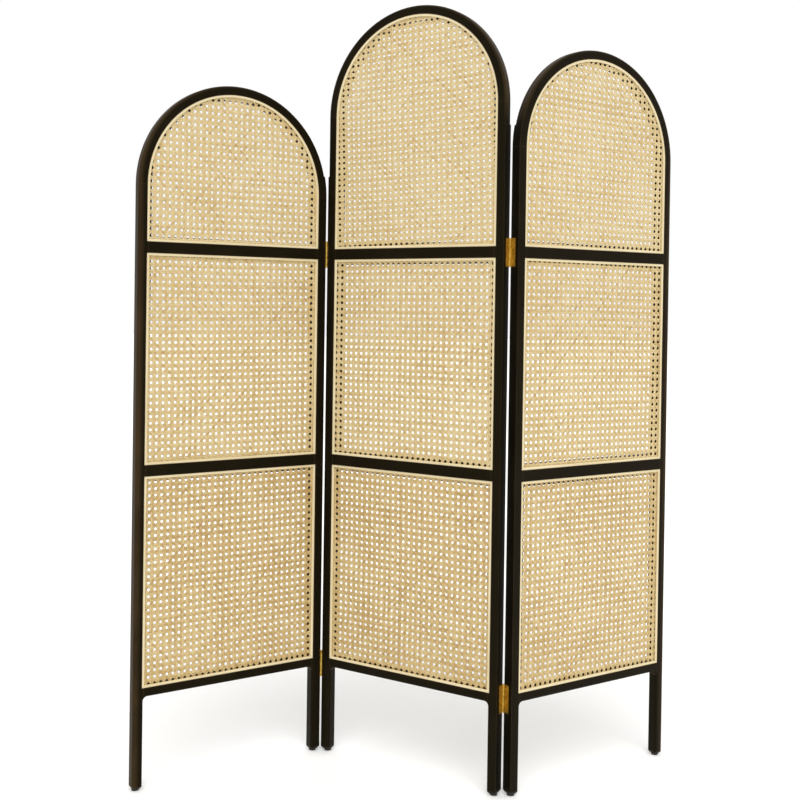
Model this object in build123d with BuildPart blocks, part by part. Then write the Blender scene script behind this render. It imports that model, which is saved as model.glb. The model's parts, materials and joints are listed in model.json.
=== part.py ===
from build123d import *
import math
import os

# Folding screen: three arched panels of painted wood, filled with cane webbing and hinged
# in a zigzag by brass butt hinges.
#
# Millimetres. +Z is up, the floor is Z = 0 and the front of the screen faces -Y. The origin
# is on the floor in the middle of the centre panel, which is also the middle of the zigzag's
# footprint. Left and right are as seen from the front.

# ---------------------------------------------------------------- driving dimensions

# panels
panel_width = 486.0
panel_heights = {"left": 1605.0, "centre": 1800.0, "right": 1700.0}
panel_turn = 33.7  # degrees between each panel and the line of the screen

# frame timber
frame_depth = 26.0
stile_width = 24.0
rail_face = 25.0  # height of a crossrail between the two fields it parts
rebate_width = 3.5
rebate_depth = 7.0
arris_ease = 0.8
edge_round = 6.0  # outer edges of the panel
leg_round = 5.0  # edges of the gap between the legs
leg_gap_corner = 10.0

# heights above the floor
lower_field_bottom = 230.0
field_height = 477.0
bottom_rail_underside = 210.0

# the hinged edges stay square up to this far above the lower neighbour's springing line
square_past_springing = 50.0

# cane and the bead that holds it
cane_thickness = 2.0
cane_clearance = 0.2
bead_width = 6.0
bead_thickness = 3.5
bead_round = 1.2
strip_joint = 0.15  # hairline between two strips of bead or stop

# stops that back the cane, inside the frame
stop_width = 9.0
stop_clearance = 0.1
stop_recess = 0.5  # how far the stops lie inside the back of the frame
stop_round = 1.5

# dowels
dowel_radius = 3.0
dowel_clearance = 0.05
dowel_pitch = 12.0
dowel_in_stile = 10.0
dowel_in_rail = 22.0
dowel_in_arch = 18.0
dowel_end_gap = 0.5
dowel_back_offset = 2.0  # rail dowels stand behind mid depth, clear of the rebate

# feet
glide_radius = 8.5
glide_height = 5.0
glide_round = 1.5
glide_nail_radius = 1.2
glide_nail_length = 14.0
foot_chamfer_side = 4.0
foot_chamfer_height = 6.0

# butt hinges
hinge_heights = {"lower": 216.0, "upper": 1221.0}
hinge_length = 64.0
leaf_width = 15.0
leaf_thickness = 1.8
mortise_clearance = 0.1
knuckle_count = 5
knuckle_radius = 2.5
knuckle_end_gap = 0.1
panel_gap = 1.5  # between two stiles when the screen is opened flat
pin_radius = 1.2
pin_clearance = 0.05
pin_overhang = 0.6
pin_end_round = 0.5

# hinge screws
screw_head_radius = 3.0
screw_radius = 1.5
screw_length = 12.5
screw_point = 2.5
screw_sink = 0.1
screw_clearance = 0.05
screw_spread = 22.0  # height of the outer screws above and below the hinge's middle
screw_stagger = 2.5
slot_width = 0.8
slot_depth = 0.7

# ---------------------------------------------------------------- worked-out dimensions

half_width = panel_width / 2
half_depth = frame_depth / 2
inner_half = half_width - stile_width
sight_half = inner_half + rebate_width
rebate_floor = half_depth - rebate_depth
middle_field_bottom = lower_field_bottom + field_height + rail_face
upper_field_bottom = middle_field_bottom + field_height + rail_face
pivot_across = half_width + panel_gap / 2
pivot_out = half_depth + knuckle_radius
knuckle_pitch = hinge_length / knuckle_count
overrun = 1.0  # how far a cutter reaches past the surface it cuts
pick_tolerance = 0.1  # how near an edge has to be to count as being at a place

LEFT = -1
RIGHT = 1
FRONT = -1
BACK = 1


class Panel:
    """Where one panel stands, how tall it is, and the planes that its pieces are drawn on."""

    def __init__(self, name, turn, centre):
        self.name = name
        self.height = panel_heights[name]
        self.springing = self.height - half_width
        along = Vector(1, 0, 0).rotate(Axis.Z, turn)
        back = Vector(0, 1, 0).rotate(Axis.Z, turn)
        self.face = Plane(origin=centre, x_dir=along, z_dir=-back)  # x across, y up, z out to the front
        self.plan = Plane(origin=centre, x_dir=along, z_dir=(0, 0, 1))  # x across, y to the back, z up
        self.end = Plane(origin=centre, x_dir=back, z_dir=along)  # x to the back, y up, z across
        self.square_up_to = {LEFT: 0.0, RIGHT: 0.0}
        self.hinges = []

    def fields(self):
        """Bottom and top of the sight size of each cane field; the upper one ends in the arch."""
        return {
            "lower": (lower_field_bottom, lower_field_bottom + field_height),
            "middle": (middle_field_bottom, middle_field_bottom + field_height),
            "upper": (upper_field_bottom, self.springing),
        }

    def at(self, across, back):
        """The point on the floor this far across the panel and towards its back."""
        return self.plan.from_local_coords(Vector(across, back, 0))


def save(piece, name):
    """Label a finished piece and write it."""
    piece.label = name
    export_step(piece, f"parts/{name}.step")


# ---------------------------------------------------------------- where the panels stand


def place_panels():
    """The centre panel stands on the origin and the others turn about the two hinge lines."""
    centre = Panel("centre", -panel_turn, Vector(0, 0, 0))
    left_line = centre.at(LEFT * pivot_across, FRONT * pivot_out)
    right_line = centre.at(RIGHT * pivot_across, BACK * pivot_out)

    at_origin = Panel("left", panel_turn, Vector(0, 0, 0))
    left = Panel("left", panel_turn, left_line - at_origin.at(RIGHT * pivot_across, FRONT * pivot_out))
    right = Panel("right", panel_turn, right_line - at_origin.at(LEFT * pivot_across, BACK * pivot_out))

    left_square = left.springing + square_past_springing
    right_square = right.springing + square_past_springing
    left.square_up_to[RIGHT] = left_square
    centre.square_up_to[LEFT] = left_square
    centre.square_up_to[RIGHT] = right_square
    right.square_up_to[LEFT] = right_square

    left.hinges = [(RIGHT, FRONT)]
    centre.hinges = [(LEFT, FRONT), (RIGHT, BACK)]
    right.hinges = [(LEFT, BACK)]
    return left, centre, right


# ---------------------------------------------------------------- shapes shared by several pieces


def half_disc(radius, base):
    """Upper half of a disc whose flat side lies at this height, in the open sketch."""
    with Locations((0, base)):
        Circle(radius)
    with Locations((0, base - radius / 2)):
        Rectangle(2 * radius, radius, mode=Mode.SUBTRACT)


def field_outline(panel, field, inset):
    """Outline of a cane field, drawn in from its sight size, in the open sketch."""
    low, high = panel.fields()[field]
    half = sight_half - inset
    if field == "upper":
        half_disc(half, high)
        top = high
    else:
        top = high - inset
    bottom = low + inset
    with Locations((0, (bottom + top) / 2)):
        Rectangle(2 * half, top - bottom)


def rebate_cutter(panel):
    """The stepped recess around the three fields, with its front arris eased."""
    with BuildPart() as cutter:
        for field in panel.fields():
            with BuildSketch(panel.face.offset(rebate_floor)):
                field_outline(panel, field, 0)
            extrude(amount=rebate_depth + overrun)
            with BuildSketch(panel.face.offset(half_depth - arris_ease)):
                field_outline(panel, field, 0)
            extrude(amount=2 * arris_ease, taper=-45)
    return cutter.part


def rounding_cutter(panel, path, material_side, radius):
    """What a round-over bit takes off the front and back arrises as it follows a path.

    The timber lies to the right of the path when material_side is 1 and to the left when it is -1.
    """
    start = Plane(origin=path @ 0, x_dir=panel.face.z_dir, z_dir=path % 0)
    middle = (radius - overrun) / 2
    size = radius + overrun
    with BuildPart() as cutter:
        with BuildSketch(start) as profile:
            for face_side in (FRONT, BACK):
                with Locations((face_side * (half_depth - middle), material_side * middle)):
                    Rectangle(size, size)
                with Locations((face_side * (half_depth - radius), material_side * radius)):
                    Circle(radius, mode=Mode.SUBTRACT)
        sweep(sections=profile.sketch, path=path)
    return cutter.part


def outer_edge_path(panel):
    """Up the left stile, over the arch and down the right stile, leaving out the square edges."""
    start = panel.square_up_to[LEFT]
    finish = panel.square_up_to[RIGHT]
    start_past = math.degrees(math.asin(max(0.0, start - panel.springing) / half_width))
    finish_past = math.degrees(math.asin(max(0.0, finish - panel.springing) / half_width))
    with BuildLine(panel.face) as line:
        if start < panel.springing:
            Line((-half_width, start), (-half_width, panel.springing))
        CenterArc((0, panel.springing), half_width, 180 - start_past, start_past + finish_past - 180)
        if finish < panel.springing:
            Line((half_width, panel.springing), (half_width, finish))
    return line.wires()[0]


def leg_gap_path(panel):
    """Up the inside of the left leg, along under the bottom rail and down the right leg."""
    corner_height = bottom_rail_underside - leg_gap_corner
    corner_across = inner_half - leg_gap_corner
    with BuildLine(panel.face) as line:
        Line((-inner_half, 0), (-inner_half, corner_height))
        CenterArc((-corner_across, corner_height), leg_gap_corner, 180, -90)
        Line((-corner_across, bottom_rail_underside), (corner_across, bottom_rail_underside))
        CenterArc((corner_across, corner_height), leg_gap_corner, 90, -90)
        Line((inner_half, corner_height), (inner_half, 0))
    return line.wires()[0]


def rail_heights():
    """Bottom and top of each rail's blank, before its rebates are cut."""
    return {
        "bottom_rail": (bottom_rail_underside, lower_field_bottom + rebate_width),
        "middle_rail": (middle_field_bottom - rail_face - rebate_width, middle_field_bottom + rebate_width),
        "upper_rail": (upper_field_bottom - rail_face - rebate_width, upper_field_bottom + rebate_width),
    }


def dowels(panel, clearance, end_gap):
    """Two dowels at each rail end and two at each foot of the arch."""
    radius = dowel_radius + clearance
    with BuildPart() as pegs:
        for low, high in rail_heights().values():
            middle = (low + high) / 2
            rail_places = [
                (dowel_back_offset, middle - dowel_pitch / 2),
                (dowel_back_offset, middle + dowel_pitch / 2),
            ]
            for side in (LEFT, RIGHT):
                outer_end = side * (inner_half + dowel_in_stile + end_gap)
                with BuildSketch(panel.end.offset(outer_end)):
                    with Locations(*rail_places):
                        Circle(radius)
                extrude(amount=-side * (dowel_in_stile + dowel_in_rail + 2 * end_gap))
        with BuildSketch(panel.plan.offset(panel.springing - dowel_in_arch - end_gap)):
            for side in (LEFT, RIGHT):
                stile_middle = side * (half_width - stile_width / 2)
                with Locations((stile_middle, -dowel_pitch / 2), (stile_middle, dowel_pitch / 2)):
                    Circle(radius)
        extrude(amount=2 * (dowel_in_arch + end_gap))
    return pegs.part


def screw_planes(panel):
    """One plane for each hinge screw, on the leaf's surface, with its normal out of the stile."""
    places = []
    for side, pivot_side in panel.hinges:
        for height in hinge_heights.values():
            for step, lift in enumerate((-screw_spread, 0, screw_spread)):
                stagger = screw_stagger if step % 2 else -screw_stagger
                across_leaf = pivot_side * (half_depth - leaf_width / 2 + stagger)
                spot = panel.at(side * half_width, across_leaf) + Vector(0, 0, height + lift)
                places.append(Plane(origin=spot, x_dir=(0, 0, 1), z_dir=panel.end.z_dir * side))
    return places


def screw_holes(panel):
    """Pilot holes under the leaves' screws."""
    with BuildPart() as holes:
        for place in screw_planes(panel):
            with BuildSketch(place) as mouth:
                Circle(screw_radius + screw_clearance)
            extrude(mouth.sketch, amount=-(screw_length + screw_sink + screw_clearance))
    return holes.part


def mortises(panel):
    """Shallow seats for the hinge leaves in the edges of the stiles."""
    with BuildPart() as seats:
        for side, pivot_side in panel.hinges:
            for height in hinge_heights.values():
                with BuildSketch(panel.plan.offset(height - hinge_length / 2 - mortise_clearance)):
                    across = side * (half_width - (leaf_thickness - overrun) / 2)
                    along_edge = pivot_side * (half_depth - (leaf_width + mortise_clearance - overrun) / 2)
                    with Locations((across, along_edge)):
                        Rectangle(leaf_thickness + overrun, leaf_width + mortise_clearance + overrun)
                extrude(amount=hinge_length + 2 * mortise_clearance)
    return seats.part


# ---------------------------------------------------------------- frame pieces


def make_stile(panel, side, cutters):
    """One upright, from its chamfered foot to the springing of the arch."""
    across = side * (half_width - stile_width / 2)
    with BuildPart() as stile:
        with BuildSketch(panel.plan.offset(glide_height)):
            with Locations((across, 0)):
                Rectangle(stile_width, frame_depth)
        extrude(amount=panel.springing - glide_height)
        foot = stile.faces().sort_by(Axis.Z)[0]
        chamfer(foot.edges(), length=foot_chamfer_side, length2=foot_chamfer_height, reference=foot)
        with BuildSketch(panel.plan.offset(glide_height)):
            with Locations((across, 0)):
                Circle(glide_nail_radius + dowel_clearance)
        extrude(amount=glide_nail_length + dowel_end_gap, mode=Mode.SUBTRACT)
        add(cutters, mode=Mode.SUBTRACT)
    edge = "left" if side == LEFT else "right"
    save(stile.part, f"{panel.name}_{edge}_stile")


def make_arch(panel, cutters):
    """The half round head that stands on the two stiles."""
    with BuildPart() as arch:
        with BuildSketch(panel.face.offset(-half_depth)):
            half_disc(half_width, panel.springing)
            with Locations((0, panel.springing)):
                Circle(inner_half, mode=Mode.SUBTRACT)
        extrude(amount=frame_depth)
        add(cutters, mode=Mode.SUBTRACT)
    save(arch.part, f"{panel.name}_arch")


def make_rail(panel, name, cutters):
    """A crossrail between the stiles; the bottom one sweeps down into the legs at its ends."""
    low, high = rail_heights()[name]
    with BuildPart() as rail:
        with BuildSketch(panel.face.offset(-half_depth)):
            with Locations((0, (low + high) / 2)):
                Rectangle(2 * inner_half, high - low)
            if name == "bottom_rail":
                for side in (LEFT, RIGHT):
                    with Locations((side * (inner_half - leg_gap_corner / 2), low - leg_gap_corner / 2)):
                        Rectangle(leg_gap_corner, leg_gap_corner)
                    with Locations((side * (inner_half - leg_gap_corner), low - leg_gap_corner)):
                        Circle(leg_gap_corner, mode=Mode.SUBTRACT)
        extrude(amount=frame_depth)
        add(cutters, mode=Mode.SUBTRACT)
    save(rail.part, f"{panel.name}_{name}")


def make_frame(panel):
    """Two stiles, the arch and three rails, cut by the same set of cutters."""
    rebates = rebate_cutter(panel)
    outer_rounding = rounding_cutter(panel, outer_edge_path(panel), 1, edge_round)
    leg_rounding = rounding_cutter(panel, leg_gap_path(panel), -1, leg_round)
    peg_holes = dowels(panel, dowel_clearance, dowel_end_gap)
    for side in (LEFT, RIGHT):
        stile_cutters = [rebates, outer_rounding, leg_rounding, peg_holes]
        if side in [hinged_side for hinged_side, pivot_side in panel.hinges]:
            stile_cutters += [mortises(panel), screw_holes(panel)]
        make_stile(panel, side, stile_cutters)
    make_arch(panel, [rebates, outer_rounding, peg_holes])
    for name in rail_heights():
        make_rail(panel, name, [rebates, leg_rounding, peg_holes])


def make_dowels(panel):
    save(dowels(panel, 0, 0), f"{panel.name}_dowels")


# ---------------------------------------------------------------- cane fields, beads and stops


def make_cane(panel, field):
    """A sheet of cane webbing, as a plain plate of its outer size."""
    with BuildPart() as cane:
        with BuildSketch(panel.face.offset(rebate_floor)):
            field_outline(panel, field, cane_clearance)
        extrude(amount=cane_thickness)
    save(cane.part, f"{panel.name}_{field}_cane")


def strips(panel, field, start, reach, inset, width, rounding):
    """Four strips around a field, mitred at the corners and butted under the arch.

    They lie between the outlines drawn in from the sight size by inset and by inset + width. They
    start at this height above mid depth and reach forwards, or backwards if reach is negative.
    """
    low, high = panel.fields()[field]
    base = panel.face.offset(start)
    corner_across = sight_half - inset
    corners = [(corner_across, low + inset, 1)]
    if field != "upper":
        corners.append((corner_across, high - inset, -1))
    joint_reach = 3 * width
    with BuildPart() as ring:
        with BuildSketch(base):
            field_outline(panel, field, inset)
        extrude(amount=reach)
        outwards = Axis(panel.face.origin, panel.face.z_dir * math.copysign(1, reach))
        fillet(ring.faces().sort_by(outwards)[-1].edges(), radius=rounding)
        with BuildSketch(base):
            field_outline(panel, field, inset + width)
        extrude(amount=reach, mode=Mode.SUBTRACT)
        arrises = ring.edges().filter_by(
            lambda edge: is_on_opening(panel, field, edge, inset + width, start + reach)
        )
        fillet(arrises, radius=rounding)
        with BuildSketch(base):
            for side in (LEFT, RIGHT):
                for across, height, slope in corners:
                    with Locations((side * across, height)):
                        Rectangle(strip_joint, joint_reach, rotation=side * slope * 45)
                if field == "upper":
                    with Locations((side * corner_across, high)):
                        Rectangle(joint_reach, strip_joint)
        extrude(amount=reach, mode=Mode.SUBTRACT)
    return ring.part


def is_on_opening(panel, field, edge, inset, height):
    """True for an edge at this height above mid depth, around an outline drawn in by inset."""
    middle = panel.face.to_local_coords(edge @ 0.5)
    low, high = panel.fields()[field]
    half = sight_half - inset + pick_tolerance
    if field == "upper" and middle.Y > high:
        inside = math.hypot(middle.X, middle.Y - high) < half
    else:
        inside = abs(middle.X) < half and low + inset - pick_tolerance < middle.Y
        if field != "upper":
            inside = inside and middle.Y < high - inset + pick_tolerance
    return inside and abs(middle.Z - height) < pick_tolerance


def make_bead(panel, field):
    """The bead that covers the edge of the cane at the front."""
    start = rebate_floor + cane_thickness
    bead = strips(panel, field, start, bead_thickness, cane_clearance, bead_width, bead_round)
    save(bead, f"{panel.name}_{field}_bead")


def make_stops(panel):
    """The stops behind all three fields, which back the edge of the cane inside the frame."""
    reach = -(half_depth + rebate_floor - stop_recess)
    inset = rebate_width + stop_clearance
    with BuildPart() as stops:
        for field in panel.fields():
            add(strips(panel, field, rebate_floor, reach, inset, stop_width, stop_round))
    save(stops.part, f"{panel.name}_cane_stops")


# ---------------------------------------------------------------- feet


def make_glides(panel):
    """A nail-on glide under each of the two legs."""
    with BuildPart() as glides:
        for side in (LEFT, RIGHT):
            across = side * (half_width - stile_width / 2)
            with BuildSketch(panel.plan):
                with Locations((across, 0)):
                    Circle(glide_radius)
            extrude(amount=glide_height)
        fillet(glides.faces().group_by(Axis.Z)[0].edges(), radius=glide_round)
        for side in (LEFT, RIGHT):
            across = side * (half_width - stile_width / 2)
            with BuildSketch(panel.plan.offset(glide_height)):
                with Locations((across, 0)):
                    Circle(glide_nail_radius)
            extrude(amount=glide_nail_length)
    save(glides.part, f"{panel.name}_glides")


# ---------------------------------------------------------------- hinges


def make_leaf(panel, side, pivot_side, level, knuckles, name):
    """One hinge leaf: its plate let into the stile's edge, and its share of the knuckles."""
    bottom = hinge_heights[level] - hinge_length / 2
    plate_across = side * (half_width - leaf_thickness / 2)
    with BuildPart() as leaf:
        with BuildSketch(panel.plan.offset(bottom)):
            with Locations((plate_across, pivot_side * (half_depth - leaf_width / 2))):
                Rectangle(leaf_thickness, leaf_width)
        extrude(amount=hinge_length)
        for knuckle in knuckles:
            with BuildSketch(panel.plan.offset(bottom + knuckle * knuckle_pitch + knuckle_end_gap)):
                with Locations((plate_across, pivot_side * (half_depth + knuckle_radius / 2))):
                    Rectangle(leaf_thickness, knuckle_radius)
                with Locations((side * pivot_across, pivot_side * pivot_out)):
                    Circle(knuckle_radius)
            extrude(amount=knuckle_pitch - 2 * knuckle_end_gap)
        with BuildSketch(panel.plan.offset(bottom)):
            with Locations((side * pivot_across, pivot_side * pivot_out)):
                Circle(pin_radius + pin_clearance)
        extrude(amount=hinge_length, mode=Mode.SUBTRACT)
        places = [place for place in screw_planes(panel) if belongs_to_leaf(panel, side, level, place)]
        with Locations(*places):
            CounterSinkHole(
                radius=screw_radius + screw_clearance,
                counter_sink_radius=screw_head_radius + screw_sink + screw_clearance,
                depth=2 * leaf_thickness,
                counter_sink_angle=90,
            )
    save(leaf.part, name)


def belongs_to_leaf(panel, side, level, place):
    """True if a screw's plane is on this side of the panel and at this hinge's height."""
    same_side = panel.plan.to_local_coords(place.origin).X * side > 0
    same_level = abs(place.origin.Z - hinge_heights[level]) < hinge_length / 2
    return same_side and same_level


def make_pin(panel, side, pivot_side, level, name):
    """A fixed hinge pin with rounded ends, on the hinge line."""
    with BuildPart() as pin:
        with BuildSketch(panel.plan.offset(hinge_heights[level] - hinge_length / 2 - pin_overhang)):
            with Locations((side * pivot_across, pivot_side * pivot_out)):
                Circle(pin_radius)
        extrude(amount=hinge_length + 2 * pin_overhang)
        fillet(pin.edges().filter_by(GeomType.CIRCLE), radius=pin_end_round)
    save(pin.part, name)


def make_screws(panel):
    """All the slotted countersunk screws in one panel's hinge leaves."""
    with BuildPart() as screw:
        with BuildSketch(Plane.XZ):
            with BuildLine():
                Polyline(
                    (0, -screw_sink),
                    (screw_head_radius, -screw_sink),
                    (screw_radius, -screw_sink - screw_head_radius + screw_radius),
                    (screw_radius, -screw_sink - screw_length + screw_point),
                    (0, -screw_sink - screw_length),
                    close=True,
                )
            make_face()
        revolve(axis=Axis.Z)
        with BuildSketch(Plane.XY.offset(-screw_sink)):
            Rectangle(3 * screw_head_radius, slot_width)
        extrude(amount=-slot_depth, mode=Mode.SUBTRACT)
    with BuildPart() as screws:
        with Locations(*screw_planes(panel)):
            add(screw.part)
    save(screws.part, f"{panel.name}_hinge_screws")


def make_hinges(left, centre, right):
    """Two hinges on each fold; the centre panel's leaves have the outer and middle knuckles."""
    centre_knuckles = range(0, knuckle_count, 2)
    outer_knuckles = range(1, knuckle_count, 2)
    folds = {"left": (left, LEFT, FRONT), "right": (right, RIGHT, BACK)}
    for fold, (neighbour, side, pivot_side) in folds.items():
        for level in hinge_heights:
            hinge = f"{fold}_fold_{level}_hinge"
            make_leaf(centre, side, pivot_side, level, centre_knuckles, f"{hinge}_centre_leaf")
            make_leaf(neighbour, -side, pivot_side, level, outer_knuckles, f"{hinge}_outer_leaf")
            make_pin(centre, side, pivot_side, level, f"{hinge}_pin")
    for panel in (left, centre, right):
        make_screws(panel)


# ---------------------------------------------------------------- the whole screen


def main():
    os.makedirs("parts", exist_ok=True)
    left, centre, right = place_panels()
    for panel in (left, centre, right):
        make_frame(panel)
        make_dowels(panel)
        for field in panel.fields():
            make_cane(panel, field)
            make_bead(panel, field)
        make_stops(panel)
        make_glides(panel)
    make_hinges(left, centre, right)


main()
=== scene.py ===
import json
import math
import random

import bpy
import numpy as np
from mathutils import Matrix, Vector


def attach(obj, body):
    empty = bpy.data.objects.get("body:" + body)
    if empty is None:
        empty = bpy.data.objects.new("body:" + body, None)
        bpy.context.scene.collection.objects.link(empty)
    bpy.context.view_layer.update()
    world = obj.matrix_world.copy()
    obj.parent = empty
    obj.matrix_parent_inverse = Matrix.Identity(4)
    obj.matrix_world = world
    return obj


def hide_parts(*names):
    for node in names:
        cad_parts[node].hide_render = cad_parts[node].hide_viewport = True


# Folding screen: three arched panels of painted wood with woven cane, as they stand in the row
# frame. Metres. +Z is up and the beaded side of the screen faces -Y.

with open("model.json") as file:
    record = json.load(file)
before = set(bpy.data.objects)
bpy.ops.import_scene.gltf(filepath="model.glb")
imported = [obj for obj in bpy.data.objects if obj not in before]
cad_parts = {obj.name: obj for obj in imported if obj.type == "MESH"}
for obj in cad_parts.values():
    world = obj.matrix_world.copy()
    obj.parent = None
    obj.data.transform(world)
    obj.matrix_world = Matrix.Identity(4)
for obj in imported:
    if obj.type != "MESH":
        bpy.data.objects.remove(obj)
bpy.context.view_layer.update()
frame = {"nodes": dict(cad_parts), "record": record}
nodes = frame["nodes"]
slot_of = {part["node"]: part["material_slot"] for part in frame["record"]["subparts"]}

# ---------------------------------------------------------------- values

PANELS = ("left", "centre", "right")
FIELDS = ("lower", "middle", "upper")
UP = np.array((0.0, 0.0, 1.0))
MM_IN_METRE = 1000

# six-way weave
COLUMN_PITCH = 0.01485  # from one upright pair of strands to the next
ROW_PITCH = 0.0152  # from one pair that lies across to the next
CLOSER_ROWS = {("centre", "upper"): 0.0136, ("right", "upper"): 0.0147}
STRAND_WIDTH = 0.0040
DIAGONAL_WIDTH = 0.0044
PAIR_HALF_GAP = 0.00225  # from the middle of a pair to the middle of one of its strands
CROSSING_LIFT = 0.00027  # of a strand of a pair where it passes over the other pair
DIAGONAL_LIFT = 0.00060  # of a diagonal where it passes over a pair
DIAGONAL_FLAT = 0.0028  # half of the stretch, measured across, on which it stays up
END_INSET = 0.0018  # from the end of a strand to the edge of the sheet
SHORTEST_STRAND = 0.003
RIM_AND_SHADE = (0.0012, 0.0019)  # where a strand's darker rim starts and ends, from its middle: partly the cane's own tan edge and partly painted shade between the strands
WANDER = 0.00012  # how far a strand strays from its line
WANDER_LENGTH = (0.08, 0.2)  # shortest and longest wave of its straying
PAIR_SHIFT = 0.00012  # how far a strand of a pair lies beside its place
DIAGONAL_SHIFT = 0.00035
WARP = 0.0005  # how far the whole weave bends from a straight grid
WARP_LENGTH = 0.43
WIDTH_SPREAD = 0.09
TONE_SPREAD = 0.17  # of a strand's paleness
END_CLEARANCE = 0.25  # of a strand's width: a knot nearer to its end than this is left out
ARCH_SIDES = 96
PARALLEL = 1e-12  # a line that leaves an edge by less than this runs along it
SEEDS_PER_PANEL = 100
# A strand's section, as shares of its width across and heights in metres, round from one edge.
SECTION = ((-0.5, -0.00006), (-0.02, -0.00024), (0.5, -0.00006), (0.27, 0.00026), (-0.27, 0.00026))

# How each sheet was laid in its field: degrees that it is turned anticlockwise, millimetres from
# the left and bottom edges of the field to the first hole, and how pale its cane is, from 0 to 1.
# The paleness is lower in the lower fields: painted shade that deepens towards the floor.
LAY = {
    ("left", "lower"): (0.4, 17, 6, 0.15),
    ("left", "middle"): (0.2, 15, 17, 0.4),
    ("left", "upper"): (0.0, 11.5, 14, 0.5),
    ("centre", "lower"): (0.1, 15, 7, 0.15),
    ("centre", "middle"): (0.2, 7, 7, 0.45),
    ("centre", "upper"): (1.6, 13, 5, 0.55),
    ("right", "lower"): (-0.3, 9.5, 10, 0.2),
    ("right", "middle"): (-0.4, 15.5, 16, 0.4),
    ("right", "upper"): (-0.6, 14, 13, 0.5),
}

# how far from its middle line the upright timbers of a panel start
UPRIGHT_FRAME = 0.2190
UPRIGHT_BEAD = 0.2163
UPRIGHT_STOP = 0.2099
OUTER_EDGE = (0.2375, 0.2430)  # where a panel's rounded outer edge starts and ends

# Where a painted highlight lightens the paint, standing in for light caught by the edges: on the
# outer side of the free stile, on the outer edge of the arch that goes on from it, and on the
# rounded edge over a hinged stile. Heights are above the springing.
FREE_SIDE = {"left": -1.0, "centre": 0.0, "right": 1.0}
FREE_FADE = (0.0, 0.10)  # across from the middle line, towards the free side
FREE_BAND = (0.2275, 0.2350)  # its inner edge on the stile and in the arch
FREE_BAND_RISE = (-0.10, 0.15)
BAND_FADE = 0.009
HINGED_RISE = {"left": (0.05, 0.11), "centre": (-0.05, 0.02), "right": (0.05, 0.11)}

# Finishes. Colours are linear, and a ramp's stops are (position, colour). A noise scale of three
# numbers has the one along the grain or the strand first. A depth is that of a relief, and a
# roughness has two ends that a noise goes between.
EDGE_SAMPLES = 4
EDGE_GAIN = 6.0  # how quickly a rounded normal's turn counts as a full edge

PAINT = (
    (0.30, (0.0026, 0.0018, 0.0008)),
    (0.52, (0.0042, 0.0031, 0.0015)),
    (0.72, (0.0080, 0.0058, 0.0030)),
)
PAINT_PORES = (14.0, 520.0, 520.0)
PAINT_BRUSHING = (5.0, 140.0, 140.0)
PAINT_CLOUDS = 9.0
PAINT_TINT = (1.0, 0.78, 0.38)
PAINT_SPECULAR = 0.09
PAINT_ROUGHNESS = (0.38, 0.50)
PORE_DEPTH = 0.00012
BRUSH_DEPTH = 0.00030
# painted highlight: a light brown that stands in for light caught by the frame's edges
PAINTED_HIGHLIGHT = (0.100, 0.060, 0.028)
HIGHLIGHT_EDGE = 0.0012  # how far from a sharp edge the painted highlight reaches
HIGHLIGHT_SHARE = (0.32, 0.62)  # of the painted highlight's colour, at its least and its most
BAND_HIGHLIGHT_SHARE = 0.5  # of the painted highlight of a sharp edge

CANE = (
    (0.12, (0.43, 0.290, 0.108)),
    (0.34, (0.575, 0.430, 0.195)),
    (0.56, (0.65, 0.525, 0.280)),
    (0.80, (0.70, 0.595, 0.360)),
)
CANE_SHIFT = 0.44  # what brings the mix of its noises into the ramp
CANE_FIBRES = (60.0, 5200.0, 37.0)
CANE_STRETCHES = (22.0, 90.0, 53.0)
CANE_STREAKS = (7.0, 40.0, 97.0)
CANE_PATCHES = 7.0
GOLDEN_CANE = (0.42, 0.245, 0.060)
GOLDEN_SPAN = (0.58, 0.68)  # of the streaks' noise, from none to the most
GOLDEN_SHARE = 0.6
# the rim colour is partly the cane's own tan edge and partly painted shade between the strands
RIM_AND_SHADE_CANE = (0.30, 0.175, 0.055)
RIM_AND_SHADE_SHARE = 0.75
CANE_SPECULAR = 0.40
CANE_ROUGHNESS = (0.38, 0.52)
FIBRE_DEPTH = 0.00010

BEAD = (
    (0.30, (0.56, 0.450, 0.245)),
    (0.50, (0.66, 0.555, 0.340)),
    (0.70, (0.74, 0.645, 0.430)),
)
BEAD_STREAKS = (9.0, 700.0, 700.0)
BEAD_FLECKS = (60.0, 900.0, 900.0)
BEAD_LENGTHS = (6.0, 20.0, 20.0)
BEAD_SPECULAR = 0.40
BEAD_ROUGHNESS = (0.42, 0.58)
BEAD_DEPTH = 0.00012

BRASS = (
    (0.32, (0.215, 0.112, 0.022)),
    (0.42, (0.410, 0.250, 0.044)),
    (0.52, (0.590, 0.395, 0.080)),
    (0.68, (0.740, 0.530, 0.135)),
)
HINGE_BLOTCHES = 170.0
SCREW_BLOTCHES = 260.0
SPECK_FINENESS = 5  # times finer than the blotches
BRASS_ROUGHNESS = (0.50, 0.34)
SPECK_DEPTH = 0.00010

BEECH = ((0.35, (0.42, 0.25, 0.11)), (0.65, (0.60, 0.40, 0.20)))
BEECH_FLECKS = (160.0, 160.0, 900.0)  # along X, Y and Z
BEECH_ROUGHNESS = (0.5, 0.65)
FLECK_DEPTH = 0.0001

PLASTIC = ((0.40, (0.010, 0.009, 0.008)), (0.75, (0.032, 0.028, 0.024)))
PLASTIC_TEXTURE = 1800.0
PLASTIC_SCUFFS = 160.0
PLASTIC_SPECULAR = 0.35
PLASTIC_ROUGHNESS = (0.45, 0.65)
MOULD_DEPTH = 0.00005

FLOOR = ((0.3, (0.925, 0.925, 0.92)), (0.7, (0.945, 0.945, 0.94)))
FLOOR_PATCHES = 0.8
FLOOR_SPECULAR = 0.1
FLOOR_ROUGHNESS = 0.9

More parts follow.
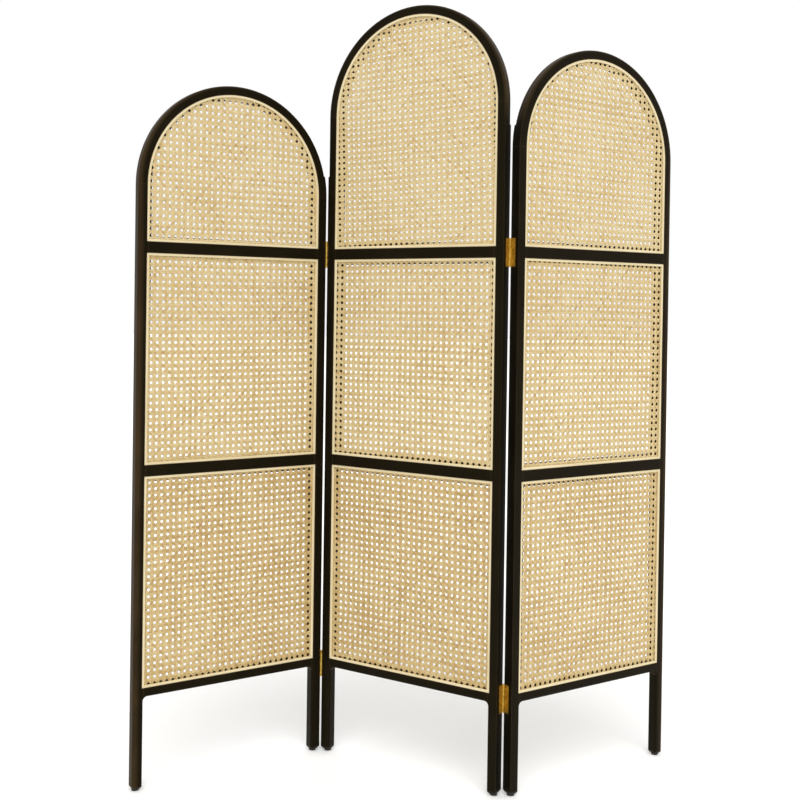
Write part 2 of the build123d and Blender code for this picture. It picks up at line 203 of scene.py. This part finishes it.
# camera, with its angles in radians
LENS = 52.942  # millimetres, as the sensor is
SENSOR = 36.0
CAMERA_PLACE = Vector((-0.07974, -2.76588, 1.09405))
CAMERA_YAW = 0.00156  # towards +X
CAMERA_PITCH = 0.01104  # downwards
CAMERA_ROLL = 0.01400
CAMERA_SHIFT = (0.02355, -0.09973)

# stage
FLOOR_HALF = 40.0
WORLD_COLOUR = (1.0, 1.0, 1.0, 1.0)
WORLD_STRENGTH = 1.0
KEY_FROM = Vector((0.1, -2.2, 2.4))
KEY_COLOUR = (1.0, 0.985, 0.96)
KEY_STRENGTH = 1.5
KEY_ANGLE = math.radians(50)


# ---------------------------------------------------------------- where each panel stands


class Sheet:
    """The plane and the outline of one cane node, whose axes are across, up and to the front."""

    def __init__(self, panel, field):
        mesh = nodes[f"{panel}_{field}_cane"].data
        points = np.array([v.co for v in mesh.vertices], float)
        self.along = panel_direction(panel)
        self.front = np.array((self.along[1], -self.along[0], 0.0))
        across = points @ self.along
        depth = points @ self.front
        self.half = (across.max() - across.min()) / 2
        self.bottom = points[:, 2].min()
        self.top = points[:, 2].max()
        self.arched = field == "upper"
        middle = (across.max() + across.min()) / 2
        middle_depth = (depth.max() + depth.min()) / 2
        self.origin = self.along * middle + self.front * middle_depth

    def outline(self):
        """Corners of the sheet's outline, anticlockwise from the front, drawn in by the inset."""
        half = self.half - END_INSET
        low = self.bottom + END_INSET
        corners = [(-half, low), (half, low)]
        if self.arched:
            springing = self.top - self.half
            for step in range(ARCH_SIDES + 1):
                angle = math.pi * step / ARCH_SIDES
                corners.append((half * math.cos(angle), springing + half * math.sin(angle)))
        else:
            corners += [(half, self.top - END_INSET), (-half, self.top - END_INSET)]
        return np.array(corners)

    def place(self, local):
        """Points given across, up and to the front, in the row frame."""
        across, up, front = local[:, :1], local[:, 1:2], local[:, 2:]
        return self.origin + across * self.along + up * UP + front * self.front


def panel_direction(panel):
    """Unit vector along a panel, from its left stile to its right one."""
    mesh = nodes[f"{panel}_lower_cane"].data
    plan = np.array([v.co[:2] for v in mesh.vertices], float)
    spread = np.linalg.svd(plan - plan.mean(0))[2][0]
    if spread[0] < 0:
        spread = -spread
    return np.array((spread[0], spread[1], 0.0))


# ---------------------------------------------------------------- woven cane


def stretch_inside(outline, point, direction):
    """First and last distance along a line at which it is inside a convex outline, or None."""
    first, last = -math.inf, math.inf
    following = np.roll(outline, -1, axis=0)
    for start, end in zip(outline, following):
        edge = end - start
        outwards = np.array((edge[1], -edge[0]))
        leaving = outwards @ direction
        room = outwards @ (start - point)
        if abs(leaving) < PARALLEL:
            if room < 0:
                return None
        elif leaving > 0:
            last = min(last, room / leaving)
        else:
            first = max(first, room / leaving)
    if last - first < SHORTEST_STRAND:
        return None
    return first, last


class Weave:
    """The vertices, faces and strand coordinates of all the strands in one field."""

    def __init__(self, panel, field, seed):
        self.sheet = Sheet(panel, field)
        self.outline = self.sheet.outline()
        self.chance = random.Random(seed)
        turned, first_across, first_up, self.paleness_and_shade = LAY[panel, field]
        self.skew = math.radians(turned)
        self.pitch = np.array((COLUMN_PITCH, CLOSER_ROWS.get((panel, field), ROW_PITCH)))
        low = self.outline.min(0)
        high = self.outline.max(0)
        self.reach = float(np.linalg.norm(high - low))
        # The weave's own origin is a crossing of two pairs, half a pitch from the first hole.
        first_hole = np.array((first_across, first_up)) / MM_IN_METRE
        self.origin = low - END_INSET + first_hole - self.pitch / 2
        self.warp_phase = np.array([self.chance.uniform(0, 2 * math.pi) for _ in range(2)])
        self.vertex_count = 0
        self.vertices = []
        self.faces = []
        self.strand_coordinates = []

    def to_field(self, points):
        """From the weave's own axes, which are a little skew, to across and up in the field."""
        c, s = math.cos(self.skew), math.sin(self.skew)
        turned = points @ np.array(((c, s), (-s, c)))
        return turned + self.origin

    def warped(self, points):
        """Points of the field moved as the sheet bends a little in its own plane."""
        swapped = points[:, ::-1]
        return points + WARP * np.sin(2 * math.pi * swapped / WARP_LENGTH + self.warp_phase)

    def add_strand(self, start, direction, knots, lifts, width):
        """A ribbon along one line of the weave, whose height follows lifts at the knots.

        start and direction are in the weave's own axes, and knots are distances along the line.
        """
        origin = self.to_field(np.array([start]))[0]
        heading = self.to_field(np.array([direction]))[0] - self.to_field(np.zeros((1, 2)))[0]
        inside = stretch_inside(self.outline, origin, heading)
        width *= 1 + self.chance.uniform(-WIDTH_SPREAD, WIDTH_SPREAD)
        # the field's paleness is lower in the lower fields: painted shade that deepens towards the floor
        tone_and_shade = self.chance.gauss(self.paleness_and_shade, TONE_SPREAD)
        phase = self.chance.uniform(0, 2 * math.pi)
        wave = self.chance.uniform(*WANDER_LENGTH)
        if inside is None:
            return
        first, last = inside
        clearance = width * END_CLEARANCE
        between = knots[(knots > first + clearance) & (knots < last - clearance)]
        stations = np.concatenate(([first], between, [last]))
        heights = np.interp(stations, knots, lifts)
        side = np.array((-heading[1], heading[0]))
        stray = WANDER * np.sin(2 * math.pi * stations / wave + phase)
        line = self.warped(origin + stations[:, None] * heading + stray[:, None] * side)
        section = np.array(SECTION)
        across = section[:, 0] * width
        flat = line[:, None, :] + across[None, :, None] * side
        height = heights[:, None] + section[None, :, 1]
        local = np.concatenate((flat, height[:, :, None]), axis=2).reshape(-1, 3)
        self.add_tube(local, len(stations), len(section))
        coordinates = (
            np.repeat(stations, len(section)) + phase,
            np.tile(across, len(stations)),
            np.full(len(local), tone_and_shade),
        )
        self.strand_coordinates.append(np.stack(coordinates, axis=1))

    def add_tube(self, local, rings, sides):
        """Closed tube through rings of points, given one ring after another."""
        base = self.vertex_count
        self.vertex_count += len(local)
        self.vertices.append(self.sheet.place(local))
        starts = base + np.arange(rings - 1)[:, None] * sides
        here = np.arange(sides)[None, :]
        after = (here + 1) % sides
        corners = (starts + here, starts + after, starts + sides + after, starts + sides + here)
        self.faces += np.stack(corners, axis=2).reshape(-1, 4).tolist()
        last_ring = base + (rings - 1) * sides
        self.faces.append(list(range(base + sides - 1, base - 1, -1)))
        self.faces.append(list(range(last_ring, last_ring + sides)))

    def add_pairs(self, upright):
        """The upright pairs, or those that lie across, each woven over and under the others."""
        spacing = self.pitch[0] if upright else self.pitch[1]
        crossing = self.pitch[1] if upright else self.pitch[0]
        direction = (0.0, 1.0) if upright else (1.0, 0.0)
        steps = self.steps()
        near = steps * crossing - PAIR_HALF_GAP
        far = steps * crossing + PAIR_HALF_GAP
        knots = np.stack((near, far), axis=1).reshape(-1)
        for step in steps:
            for half in (-1, 1):
                offset = step * spacing + half * PAIR_HALF_GAP + self.chance.gauss(0, PAIR_SHIFT)
                start = (offset, 0.0) if upright else (0.0, offset)
                lift = CROSSING_LIFT * half * (1 if upright else -1)
                lifts = np.tile((-lift, lift), len(steps))
                self.add_strand(start, direction, knots, lifts, STRAND_WIDTH)

    def add_diagonals(self, slope):
        """One diagonal to each pitch, through the middles of the stretches between crossings."""
        across, up = self.pitch
        diagonal = math.hypot(across, up)
        direction = (across / diagonal, slope * up / diagonal)
        steps = self.steps()
        flat = DIAGONAL_FLAT * diagonal / across
        upright_middle = steps * diagonal
        level_middle = (steps + 0.5) * diagonal
        ends = (upright_middle - flat, upright_middle + flat, level_middle - flat, level_middle + flat)
        knots = np.stack(ends, axis=1).reshape(-1)
        lift = DIAGONAL_LIFT * slope
        lifts = np.tile((lift, lift, -lift, -lift), len(steps))
        for step in steps:
            start = (0.0, (step + 0.5) * up + self.chance.gauss(0, DIAGONAL_SHIFT))
            self.add_strand(start, direction, knots, lifts, DIAGONAL_WIDTH)

    def steps(self):
        """Whole numbers of pitches that reach over the whole field and past it."""
        count = math.ceil(2 * self.reach / self.pitch.min()) + 2
        return np.arange(-count, count + 1)

    def build(self, name):
        """All the strands as one object, with each point's place on its strand and its tone, which also
        carries the painted shade of the lower fields.
        """
        self.add_pairs(upright=True)
        self.add_pairs(upright=False)
        self.add_diagonals(1)
        self.add_diagonals(-1)
        mesh = bpy.data.meshes.new(name)
        mesh.from_pydata(np.concatenate(self.vertices).tolist(), [], self.faces)
        coordinates = mesh.attributes.new("strand", "FLOAT_VECTOR", "POINT")
        values = np.concatenate(self.strand_coordinates).astype(np.float32)
        coordinates.data.foreach_set("vector", values.reshape(-1))
        mesh.shade_smooth()
        mesh.validate()
        piece = bpy.data.objects.new(name, mesh)
        bpy.context.scene.collection.objects.link(piece)
        return piece


def make_weaves(cane):
    """The woven sheet of each field, in place of its plain plate."""
    for panel_number, panel in enumerate(PANELS):
        for field_number, field in enumerate(FIELDS):
            weave = Weave(panel, field, SEEDS_PER_PANEL * panel_number + field_number)
            piece = weave.build(f"{panel}_{field}_weave")
            piece.data.materials.append(cane)
            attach(piece, f"{panel}_panel")
            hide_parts(f"{panel}_{field}_cane")


# ---------------------------------------------------------------- material helpers


class Recipe:
    """A new material and short ways to add nodes to it."""

    def __init__(self, name):
        self.material = bpy.data.materials.new(name)
        self.material.use_nodes = True
        self.tree = self.material.node_tree
        self.shader = self.tree.nodes["Principled BSDF"]

    def feed(self, socket, value):
        """Link an input to another node's output, or set it; a colour gets an alpha of 1."""
        if isinstance(value, bpy.types.NodeSocket):
            self.tree.links.new(value, socket)
        elif socket.type == "RGBA":
            socket.default_value = (*value, 1.0)
        else:
            socket.default_value = value

    def node(self, kind, **inputs):
        """A node of this kind with its inputs fed by name."""
        made = self.tree.nodes.new(kind)
        for name, value in inputs.items():
            self.feed(made.inputs[name.replace("_", " ")], value)
        return made

    def math(self, operation, *values):
        made = self.tree.nodes.new("ShaderNodeMath")
        made.operation = operation
        for index, value in enumerate(values):
            self.feed(made.inputs[index], value)
        return made.outputs[0]

    def weighted(self, *pairs):
        """The sum of several factors, each given with its weight."""
        factor, weight = pairs[0]
        total = self.math("MULTIPLY", factor, weight)
        for factor, weight in pairs[1:]:
            total = self.math("MULTIPLY_ADD", factor, weight, total)
        return total

    def object_coordinates(self):
        return self.node("ShaderNodeTexCoord").outputs["Object"]

    def noise(self, vector, scale, detail=3.0, roughness=0.5):
        """Noise at one scale, or at one that is different along each axis."""
        if isinstance(scale, tuple):
            vector = self.node("ShaderNodeMapping", Vector=vector, Scale=scale).outputs["Vector"]
            scale = 1.0
        made = self.node(
            "ShaderNodeTexNoise", Vector=vector, Scale=scale, Detail=detail, Roughness=roughness
        )
        return made.outputs["Fac"]

    def ramp(self, factor, stops):
        """Colours that follow a factor; stops are (position, colour)."""
        made = self.tree.nodes.new("ShaderNodeValToRGB")
        made.color_ramp.elements.remove(made.color_ramp.elements[1])
        for index, (position, colour) in enumerate(stops):
            if index == 0:
                element = made.color_ramp.elements[0]
                element.position = position
            else:
                element = made.color_ramp.elements.new(position)
            element.color = (*colour, 1.0)
        self.tree.links.new(factor, made.inputs["Fac"])
        return made.outputs["Color"]

    def between(self, factor, low, high, span=(0.3, 0.7)):
        """A number that goes from low to high as the factor goes over the span."""
        made = self.node(
            "ShaderNodeMapRange",
            Value=factor,
            From_Min=span[0],
            From_Max=span[1],
            To_Min=low,
            To_Max=high,
        )
        return made.outputs["Result"]

    def mixed(self, factor, first, second):
        """The first colour where the factor is 0 and the second where it is 1."""
        made = self.tree.nodes.new("ShaderNodeMix")
        made.data_type = "RGBA"
        # The sockets of a Mix node share their names; these are the ones for colours.
        for index, value in ((0, factor), (6, first), (7, second)):
            self.feed(made.inputs[index], value)
        return made.outputs[2]

    def bump(self, height, distance, strength, **normal):
        """Normals of a relief this deep, over other normals where Normal is given."""
        made = self.node("ShaderNodeBump", Height=height, Distance=distance, Strength=strength, **normal)
        return made.outputs["Normal"]

    def edges(self, radius):
        """1 at a sharp edge of the shape and 0 further from it than the radius."""
        rounded = self.node("ShaderNodeBevel", Radius=radius)
        rounded.samples = EDGE_SAMPLES
        true = self.node("ShaderNodeNewGeometry")
        facing = self.node("ShaderNodeVectorMath")
        facing.operation = "DOT_PRODUCT"
        self.tree.links.new(rounded.outputs["Normal"], facing.inputs[0])
        self.tree.links.new(true.outputs["Normal"], facing.inputs[1])
        turned = self.math("SUBTRACT", 1.0, facing.outputs["Value"])
        return self.math("MINIMUM", self.math("MULTIPLY", turned, EDGE_GAIN), 1.0)

    def set(self, **inputs):
        """Feed the surface shader's inputs by name, and give the finished material."""
        for name, value in inputs.items():
            self.feed(self.shader.inputs[name.replace("_", " ")], value)
        return self.material


# ---------------------------------------------------------------- materials


def panel_coordinates(recipe, sheet):
    """Distances across a panel, through its depth and above its springing."""
    placed = recipe.node(
        "ShaderNodeMapping",
        Vector=recipe.object_coordinates(),
        Location=(sheet.origin[0], sheet.origin[1], sheet.top - sheet.half),
        Rotation=(0.0, 0.0, math.atan2(sheet.along[1], sheet.along[0])),
    )
    placed.vector_type = "TEXTURE"
    parts = recipe.node("ShaderNodeSeparateXYZ", Vector=placed.outputs["Vector"])
    return [parts.outputs[axis] for axis in "XYZ"]


def grain_coordinates(recipe, panel, upright_from):
    """Distance along the timber and to its two sides, and how much painted highlight the place takes.

    The timber runs round the arch above the springing, upwards where it is further than
    upright_from from the panel's middle line, and across the panel elsewhere.
    """
    sheet = Sheet(panel, "upper")
    across, depth, height = panel_coordinates(recipe, sheet)
    distance = recipe.math("ABSOLUTE", across)
    square = recipe.math("MULTIPLY_ADD", across, across, recipe.math("MULTIPLY", height, height))
    radius = recipe.math("SQRT", square)
    round_arch = recipe.math("MULTIPLY", recipe.math("ARCTAN2", height, across), sheet.half)
    in_arch = recipe.math("GREATER_THAN", height, 0.0)
    upright = recipe.math("GREATER_THAN", distance, upright_from)
    straight_along = choose(recipe, upright, across, height)
    straight_side = choose(recipe, upright, height, across)
    along = choose(recipe, in_arch, straight_along, round_arch)
    side = choose(recipe, in_arch, straight_side, radius)
    grain = recipe.node("ShaderNodeCombineXYZ", X=along, Y=side, Z=depth).outputs["Vector"]
    outwards = choose(recipe, in_arch, distance, radius)
    return grain, painted_highlight_amount(recipe, panel, across, outwards, height)


def painted_highlight_amount(recipe, panel, across, outwards, height):
    """How much painted highlight a place on the frame takes, from 0 to 1, where its edges catch the
    light.
    """
    risen = recipe.between(height, 0.0, 1.0, HINGED_RISE[panel])
    hinged_side = recipe.math("MULTIPLY", recipe.between(outwards, 0.0, 1.0, OUTER_EDGE), risen)
    band_edge = recipe.between(height, *FREE_BAND, FREE_BAND_RISE)
    in_band = recipe.between(recipe.math("SUBTRACT", outwards, band_edge), 0.0, 1.0, (0.0, BAND_FADE))
    free = recipe.between(recipe.math("MULTIPLY", across, FREE_SIDE[panel]), 0.0, 1.0, FREE_FADE)
    free_side = recipe.math("MULTIPLY", in_band, free)
    return recipe.math("MAXIMUM", hinged_side, free_side)


def choose(recipe, test, otherwise, chosen):
    """chosen where the test is 1 and otherwise where it is 0."""
    difference = recipe.math("SUBTRACT", chosen, otherwise)
    return recipe.math("MULTIPLY_ADD", difference, test, otherwise)


def painted_wood(name, panel, upright_from):
    """Satin brown-black paint with the grain showing faintly through it, and a painted highlight of
    light brown on its edges.
    """
    recipe = Recipe(name)
    grain, highlight_amount = grain_coordinates(recipe, panel, upright_from)
    pores = recipe.noise(grain, PAINT_PORES, roughness=0.6)
    brushed = recipe.noise(grain, PAINT_BRUSHING, detail=2.0)
    clouds = recipe.noise(recipe.object_coordinates(), PAINT_CLOUDS)
    paint = recipe.ramp(recipe.weighted((clouds, 0.5), (pores, 0.5)), PAINT)
    # painted highlight: light brown mixed in at the sharp edges and along the outer bands, where the
    # edges catch the light
    band_highlight = recipe.math("MULTIPLY", highlight_amount, BAND_HIGHLIGHT_SHARE)
    highlight_mask = recipe.math("MAXIMUM", recipe.edges(HIGHLIGHT_EDGE), band_highlight)
    highlight_mix = recipe.math("MULTIPLY", highlight_mask, recipe.between(clouds, *HIGHLIGHT_SHARE))
    pore_bump = recipe.bump(pores, PORE_DEPTH, 0.5)
    return recipe.set(
        Base_Color=recipe.mixed(highlight_mix, paint, PAINTED_HIGHLIGHT),
        Roughness=recipe.between(clouds, *PAINT_ROUGHNESS),
        Specular_IOR_Level=PAINT_SPECULAR,
        Specular_Tint=PAINT_TINT,
        Normal=recipe.bump(brushed, BRUSH_DEPTH, 0.35, Normal=pore_bump),
    )


def cane_skin():
    """Split cane: straw coloured, a little glossy, streaked along each strand, with darker rims that are
    partly its own tan edges and partly painted shade between the strands.
    """
    recipe = Recipe("cane_skin")
    strand = recipe.node("ShaderNodeAttribute")
    strand.attribute_name = "strand"
    strand.attribute_type = "GEOMETRY"
    vector = strand.outputs["Vector"]
    parts = recipe.node("ShaderNodeSeparateXYZ", Vector=vector)
    beside_middle = recipe.math("ABSOLUTE", parts.outputs["Y"])
    tone_and_shade = parts.outputs["Z"]
    fibres = recipe.noise(vector, CANE_FIBRES, detail=2.0)
    stretches = recipe.noise(vector, CANE_STRETCHES, roughness=0.6)
    streaks = recipe.noise(vector, CANE_STREAKS, detail=2.0)
    patches = recipe.noise(recipe.object_coordinates(), CANE_PATCHES, detail=2.0)
    # the strand's tone also carries the painted shade that darkens the lower fields
    mix = recipe.weighted((tone_and_shade, 0.55), (stretches, 0.9), (patches, 0.25), (fibres, 0.18))
    skin = recipe.ramp(recipe.math("SUBTRACT", mix, CANE_SHIFT), CANE)
    golden = recipe.between(streaks, 0.0, GOLDEN_SHARE, GOLDEN_SPAN)
    # darker rims: partly the cane's own tan edges and partly painted shade between the strands
    rims_and_shade = recipe.between(beside_middle, 0.0, RIM_AND_SHADE_SHARE, RIM_AND_SHADE)
    colour = recipe.mixed(golden, skin, GOLDEN_CANE)
    return recipe.set(
        Base_Color=recipe.mixed(rims_and_shade, colour, RIM_AND_SHADE_CANE),
        Roughness=recipe.between(stretches, *CANE_ROUGHNESS),
        Specular_IOR_Level=CANE_SPECULAR,
        Normal=recipe.bump(fibres, FIBRE_DEPTH, 0.5),
    )


def pale_wood(name, panel, upright_from):
    """Bare pale bead, lightly sealed."""
    recipe = Recipe(name)
    grain, _ = grain_coordinates(recipe, panel, upright_from)
    streaks = recipe.noise(grain, BEAD_STREAKS, roughness=0.6)
    flecks = recipe.noise(grain, BEAD_FLECKS, detail=2.0)
    lengths = recipe.noise(grain, BEAD_LENGTHS, detail=2.0)
    return recipe.set(
        Base_Color=recipe.ramp(recipe.weighted((lengths, 0.4), (streaks, 0.6)), BEAD),
        Roughness=recipe.between(flecks, *BEAD_ROUGHNESS),
        Specular_IOR_Level=BEAD_SPECULAR,
        Normal=recipe.bump(streaks, BEAD_DEPTH, 0.5),
    )


def aged_brass(name, scale):
    """Mottled brass: gold, olive and brown patches, duller where it is darker."""
    recipe = Recipe(name)
    place = recipe.object_coordinates()
    blotches = recipe.noise(place, scale, detail=4.0, roughness=0.6)
    specks = recipe.noise(place, scale * SPECK_FINENESS)
    return recipe.set(
        Base_Color=recipe.ramp(recipe.weighted((specks, 0.2), (blotches, 0.8)), BRASS),
        Metallic=1.0,
        Roughness=recipe.between(blotches, *BRASS_ROUGHNESS),
        Normal=recipe.bump(specks, SPECK_DEPTH, 0.4),
    )


def bare_beech():
    """Turned beech dowel."""
    recipe = Recipe("bare_beech")
    flecks = recipe.noise(recipe.object_coordinates(), BEECH_FLECKS)
    return recipe.set(
        Base_Color=recipe.ramp(flecks, BEECH),
        Roughness=recipe.between(flecks, *BEECH_ROUGHNESS),
        Normal=recipe.bump(flecks, FLECK_DEPTH, 0.4),
    )


def moulded_plastic():
    """Dark glide, with the fine texture of its mould and scuffed paler in places."""
    recipe = Recipe("moulded_plastic")
    place = recipe.object_coordinates()
    texture = recipe.noise(place, PLASTIC_TEXTURE, detail=2.0)
    scuffs = recipe.noise(place, PLASTIC_SCUFFS)
    return recipe.set(
        Base_Color=recipe.ramp(scuffs, PLASTIC),
        Roughness=recipe.between(scuffs, *PLASTIC_ROUGHNESS),
        Specular_IOR_Level=PLASTIC_SPECULAR,
        Normal=recipe.bump(texture, MOULD_DEPTH, 0.5),
    )


def make_finishes():
    """The finishes, by slot, or by panel and kind of piece where the grain follows the panel."""
    finishes = {
        "hinge_brass": aged_brass("hinge_brass", HINGE_BLOTCHES),
        "brass_screws": aged_brass("brass_screws", SCREW_BLOTCHES),
        "dowel_wood": bare_beech(),
        "glide_plastic": moulded_plastic(),
    }
    for panel in PANELS:
        finishes[panel, "frame"] = painted_wood(f"painted_frame_{panel}", panel, UPRIGHT_FRAME)
        finishes[panel, "stops"] = painted_wood(f"painted_stops_{panel}", panel, UPRIGHT_STOP)
        finishes[panel, "bead"] = pale_wood(f"pale_bead_{panel}", panel, UPRIGHT_BEAD)
    return finishes


def finish_key(name):
    """Which of the finishes a CAD node takes."""
    slot = slot_of[name]
    panel = name.split("_")[0]
    if slot == "pale_bead":
        return panel, "bead"
    if slot == "painted_frame":
        kind = "stops" if name.endswith("_stops") else "frame"
        return panel, kind
    return slot


def finish_frame():
    """Every CAD node gets its finish, apart from the cane, which the woven sheets stand for."""
    finishes = make_finishes()
    for name, node in nodes.items():
        if slot_of[name] == "cane_webbing":
            continue
        material = finishes[finish_key(name)]
        if not node.material_slots:
            node.data.materials.append(material)
        for material_slot in node.material_slots:
            material_slot.material = material


# ---------------------------------------------------------------- stage, light and camera


def make_floor():
    """A plain pale floor with a soft matte surface."""
    mesh = bpy.data.meshes.new("floor")
    reach = FLOOR_HALF
    corners = [(-reach, -reach, 0), (reach, -reach, 0), (reach, reach, 0), (-reach, reach, 0)]
    mesh.from_pydata(corners, [], [(0, 1, 2, 3)])
    floor = bpy.data.objects.new("floor", mesh)
    bpy.context.scene.collection.objects.link(floor)
    recipe = Recipe("pale_floor")
    patches = recipe.noise(recipe.object_coordinates(), FLOOR_PATCHES, detail=2.0)
    recipe.set(
        Base_Color=recipe.ramp(patches, FLOOR),
        Roughness=FLOOR_ROUGHNESS,
        Specular_IOR_Level=FLOOR_SPECULAR,
    )
    mesh.materials.append(recipe.material)


def make_light():
    """An even white surround and one large soft key light, high in front."""
    world = bpy.data.worlds.new("studio")
    world.use_nodes = True
    background = world.node_tree.nodes["Background"]
    background.inputs["Color"].default_value = WORLD_COLOUR
    background.inputs["Strength"].default_value = WORLD_STRENGTH
    bpy.context.scene.world = world
    key = bpy.data.lights.new("key", "SUN")
    key.energy = KEY_STRENGTH
    key.angle = KEY_ANGLE
    key.color = KEY_COLOUR
    lamp = bpy.data.objects.new("key", key)
    lamp.rotation_mode = "QUATERNION"
    lamp.rotation_quaternion = KEY_FROM.to_track_quat("Z", "Y")
    bpy.context.scene.collection.objects.link(lamp)
    bpy.context.scene.view_settings.view_transform = "Standard"


def make_camera():
    """The camera of the picture that the screen was designed from."""
    data = bpy.data.cameras.new("camera")
    data.sensor_width = SENSOR
    data.lens = LENS
    data.shift_x, data.shift_y = CAMERA_SHIFT
    camera = bpy.data.objects.new("camera", data)
    bpy.context.scene.collection.objects.link(camera)
    forward = Vector((
        math.sin(CAMERA_YAW) * math.cos(CAMERA_PITCH),
        math.cos(CAMERA_YAW) * math.cos(CAMERA_PITCH),
        -math.sin(CAMERA_PITCH),
    ))
    level = Vector((math.cos(CAMERA_YAW), -math.sin(CAMERA_YAW), 0.0))
    upwards = level.cross(forward)
    c, s = math.cos(CAMERA_ROLL), math.sin(CAMERA_ROLL)
    right = c * level + s * upwards
    up = c * upwards - s * level
    turn = Matrix((right, up, -forward)).transposed()
    camera.matrix_world = Matrix.Translation(CAMERA_PLACE) @ turn.to_4x4()
    bpy.context.scene.camera = camera


make_weaves(cane_skin())
finish_frame()
make_floor()
make_light()
make_camera()
